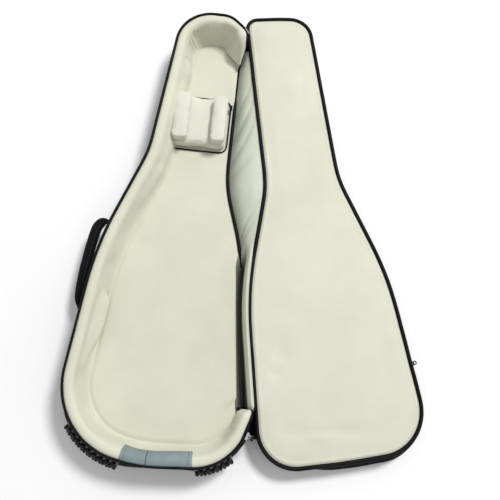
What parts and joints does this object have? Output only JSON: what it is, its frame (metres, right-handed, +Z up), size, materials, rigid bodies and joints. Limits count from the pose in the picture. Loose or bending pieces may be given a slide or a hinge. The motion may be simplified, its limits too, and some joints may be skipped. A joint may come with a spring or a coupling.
{
  "type": "padded guitar gig bag",
  "caption": "Padded electric guitar gig bag laid open: black shell, cream lining, neck cradle, fabric-hinged lid, zip sliders, side carry handle and studded rubber corner bumpers",
  "frame": {"origin": "on the ground, midway along and across the opened bag; the fabric hinge's line lies over X = 0", "axes": "+X from the tray towards the lid, +Y towards the neck end, +Z up"},
  "size_m": [0.7334, 1.0289, 0.0868],
  "materials": {
    "outer_fabric": "water-repellent woven polyester",
    "cream_lining": "smooth brushed lining over foam",
    "hinge_lining": "smooth brushed lining, slightly greener",
    "foam": "closed-cell foam",
    "piping": "synthetic leather binding",
    "zip_tape": "woven tape",
    "zip_coil": "nylon coil",
    "bumper_rubber": "moulded rubber",
    "patch_fabric": "blue-grey synthetic reinforcement",
    "cream_cushion": "smooth cover over a foam block",
    "webbing": "woven webbing",
    "grip_fabric": "padded woven sleeve",
    "slider_metal": "plated zinc",
    "pull_metal": "plated zinc"
  },
  "bodies": {
    "tray": {"tray_back_panel": "outer_fabric", "tray_side_gusset": "outer_fabric", "hinge_wall_outer": "outer_fabric", "tray_floor_lining": "cream_lining", "tray_wall_lining": "cream_lining", "hinge_wall_lining": "hinge_lining", "tray_floor_foam": "foam", "tray_wall_foam": "foam", "tray_rim_piping": "piping", "tray_base_piping": "piping", "hinge_seam_piping": "piping", "cradle_piping": "piping", "tray_zip_tape": "zip_tape", "tray_zip_coil": "zip_coil", "bumper_left": "bumper_rubber", "bumper_right": "bumper_rubber", "tail_patch": "patch_fabric", "cradle_base": "cream_cushion", "cradle_block_left": "cream_cushion", "cradle_block_right": "cream_cushion", "cradle_tab": "webbing", "handle_anchor_lower": "webbing", "handle_anchor_upper": "webbing"},
    "lid": {"lid_front_panel": "outer_fabric", "lid_gusset": "outer_fabric", "pocket_panel": "outer_fabric", "lid_lining": "cream_lining", "lid_foam": "foam", "pocket_padding": "foam", "lid_edge_piping": "piping", "lid_base_piping": "piping", "lid_zip_tape": "zip_tape", "pocket_zip_tape": "zip_tape", "lid_zip_coil": "zip_coil", "pocket_zip_coil": "zip_coil"},
    "handle": {"handle_strap": "webbing", "handle_grip": "grip_fabric"},
    "slider_bottom": {"zip_slider_bottom": "slider_metal"},
    "pull_bottom": {"zip_pull_bottom": "pull_metal"},
    "slider_top": {"zip_slider_top": "slider_metal"},
    "pull_top": {"zip_pull_top": "pull_metal"},
    "pocket_slider_body": {"pocket_slider": "slider_metal"},
    "pocket_pull_body": {"pocket_pull": "pull_metal"}
  },
  "joints": [
    {"name": "lid_fold", "type": "hinge", "parent": "tray", "child": "lid", "pos_m": [0, 0, 0.0695], "axis": [0, -1, 0], "range_deg": [0, 179.9], "deforming": ["hinge_wall_lining", "hinge_wall_outer"]},
    {"name": "handle_swing", "type": "hinge", "parent": "tray", "child": "handle", "pos_m": [-0.34062, -0.2004, 0.05], "axis": [0.2668, 0.9637, 0], "range_deg": [-45, 45]},
    {"name": "slider_bottom_travel", "type": "hinge", "parent": "tray", "child": "slider_bottom", "pos_m": [-0.09983, -0.39144, 0.0747], "axis": [0, 0, 1], "range_deg": [-58, 0]},
    {"name": "pull_bottom_swing", "type": "hinge", "parent": "slider_bottom", "child": "pull_bottom", "pos_m": [0.00576, -0.44524, 0.0747], "axis": [0.454, 0.891, 0], "range_deg": [-85, 2]},
    {"name": "slider_top_travel", "type": "hinge", "parent": "tray", "child": "slider_top", "pos_m": [-0.05131, 0.44181, 0.0747], "axis": [0, 0, 1], "range_deg": [0, 60]},
    {"name": "pull_top_swing", "type": "hinge", "parent": "slider_top", "child": "pull_top", "pos_m": [0.00479, 0.46447, 0.0747], "axis": [-0.3746, 0.9272, 0], "range_deg": [-85, 2]},
    {"name": "pocket_slider_travel", "type": "slide", "parent": "lid", "child": "pocket_slider_body", "axis": [-0.1858, 0.9826, 0], "range_m": [0, 0.095]},
    {"name": "pocket_pull_swing", "type": "hinge", "parent": "pocket_slider_body", "child": "pocket_pull_body", "pos_m": [0.35629, -0.30597, 0.0137], "axis": [-0.1858, 0.9826, 0], "range_deg": [-60, 15]}
  ]
}
